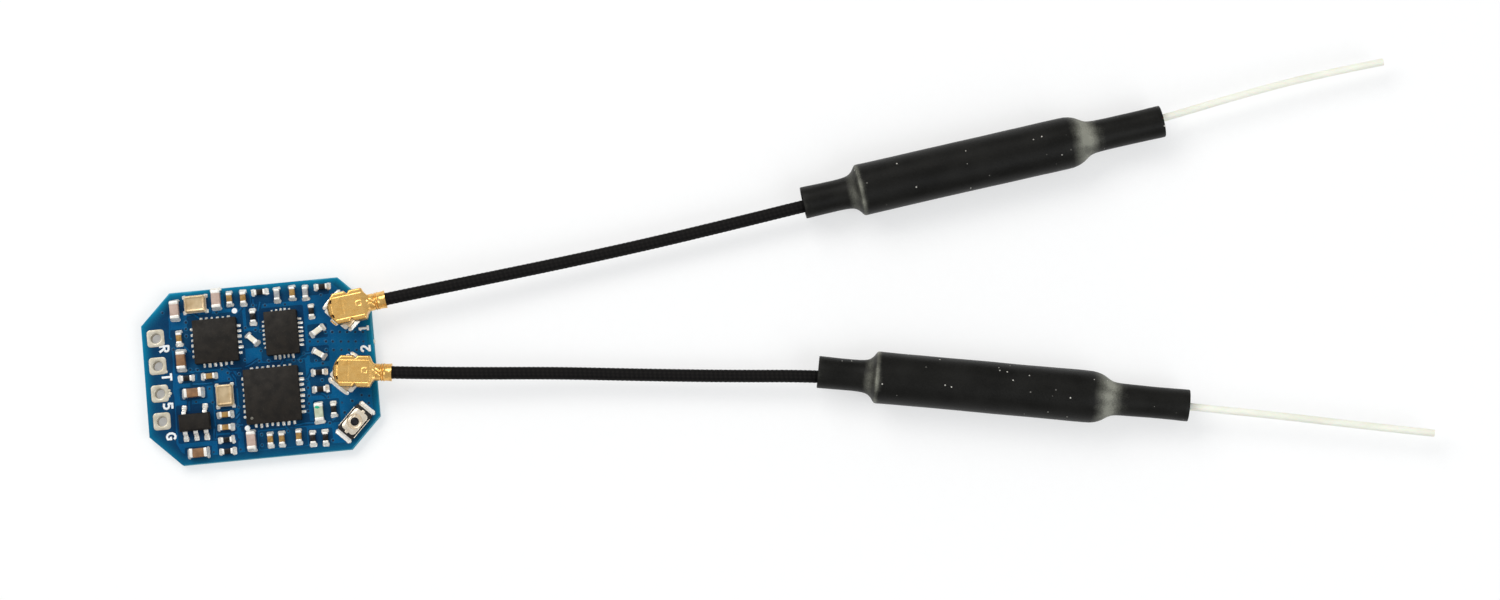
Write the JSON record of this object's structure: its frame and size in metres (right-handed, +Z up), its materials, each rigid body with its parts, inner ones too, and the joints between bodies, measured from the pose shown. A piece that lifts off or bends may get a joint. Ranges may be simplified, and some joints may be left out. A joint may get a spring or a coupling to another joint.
{
  "type": "radio control receiver",
  "caption": "Small two-antenna radio control receiver: a chamfered blue circuit board with a push button, and two sleeved whip antennas on coaxial plugs.",
  "frame": {"origin": "centre of the circuit board's underside, which lies on the table", "axes": "+X along the board from the wire pads to the antennas, +Z up out of the board's component side"},
  "size_m": [0.1161, 0.0351, 0.0047],
  "materials": {
    "solder_mask": "glossy blue solder mask on glass-fibre laminate",
    "gold_plating": "gold-plated stamping",
    "pad_plating": "pale gold-plated copper pad",
    "chip_epoxy": "matt black moulded epoxy",
    "tinned_metal": "tin plating and solder",
    "ceramic_base": "pale fired ceramic",
    "crystal_lid": "satin plated lid, warm grey",
    "capacitor_ceramic": "tan to brown fired ceramic",
    "resistor_ceramic": "black glazed resistor",
    "inductor_ceramic": "grey ceramic inductor",
    "filter_ceramic": "white ceramic",
    "lamp_body": "cloudy clear resin",
    "black_plastic": "black moulded plastic",
    "stainless": "pressed stainless sheet",
    "white_plastic": "white liquid crystal polymer",
    "lead_jacket": "black cable jacket",
    "heat_shrink": "matt black heat-shrink tube",
    "bare_brass": "drawn brass tube",
    "whip_insulation": "translucent cream cable insulation",
    "bare_wire": "silver-plated copper wire"
  },
  "bodies": {
    "receiver_board": {"circuit_board": "solder_mask", "plated_pads": "pad_plating", "controller_chip": "chip_epoxy", "controller_contacts": "tinned_metal", "transceiver_chip": "chip_epoxy", "transceiver_contacts": "tinned_metal", "amplifier_chip": "chip_epoxy", "amplifier_contacts": "tinned_metal", "regulator_body": "chip_epoxy", "regulator_leads": "tinned_metal", "radio_crystal_base": "ceramic_base", "radio_crystal_lid": "crystal_lid", "clock_crystal_base": "ceramic_base", "clock_crystal_lid": "crystal_lid", "crystal_pads": "tinned_metal", "large_capacitors": "capacitor_ceramic", "small_capacitors": "capacitor_ceramic", "resistors": "resistor_ceramic", "inductors": "inductor_ceramic", "radio_filters": "filter_ceramic", "status_lamp": "lamp_body", "end_caps": "tinned_metal", "solder_fillets": "tinned_metal", "button_housing": "black_plastic", "button_terminals": "tinned_metal", "button_cover": "stainless", "button_snap_disc": "stainless", "antenna_jack_1_base": "white_plastic", "antenna_jack_1_shell": "gold_plating", "antenna_jack_1_pin": "gold_plating", "antenna_jack_2_base": "white_plastic", "antenna_jack_2_shell": "gold_plating", "antenna_jack_2_pin": "gold_plating"},
    "antenna_1": {"antenna_plug_1_shell": "gold_plating", "antenna_plug_1_insulator": "black_plastic", "antenna_plug_1_contact": "gold_plating", "coax_lead_1": "lead_jacket", "heat_shrink_1": "heat_shrink", "brass_sleeve_1": "bare_brass", "sleeve_solder_1": "tinned_metal", "whip_insulation_1": "whip_insulation", "whip_wire_1": "bare_wire"},
    "antenna_2": {"antenna_plug_2_shell": "gold_plating", "antenna_plug_2_insulator": "black_plastic", "antenna_plug_2_contact": "gold_plating", "coax_lead_2": "lead_jacket", "heat_shrink_2": "heat_shrink", "brass_sleeve_2": "bare_brass", "sleeve_solder_2": "tinned_metal", "whip_insulation_2": "whip_insulation", "whip_wire_2": "bare_wire"},
    "button": {"button_plunger": "black_plastic"}
  },
  "joints": [
    {"name": "antenna_1_swivel", "type": "hinge", "parent": "receiver_board", "child": "antenna_1", "pos_m": [0.0081, 0.0048, 0.0022], "axis": [0, 0, 1], "range_deg": [-7, 50]},
    {"name": "antenna_2_swivel", "type": "hinge", "parent": "receiver_board", "child": "antenna_2", "pos_m": [0.0081, -0.001, 0.0022], "axis": [0, 0, 1], "range_deg": [-50, 7]},
    {"name": "button_press", "type": "slide", "parent": "receiver_board", "child": "button", "axis": [0, 0, -1], "range_m": [0, 0.00014], "stiffness_N_per_m": 8000, "deforming": ["button_snap_disc"]}
  ]
}
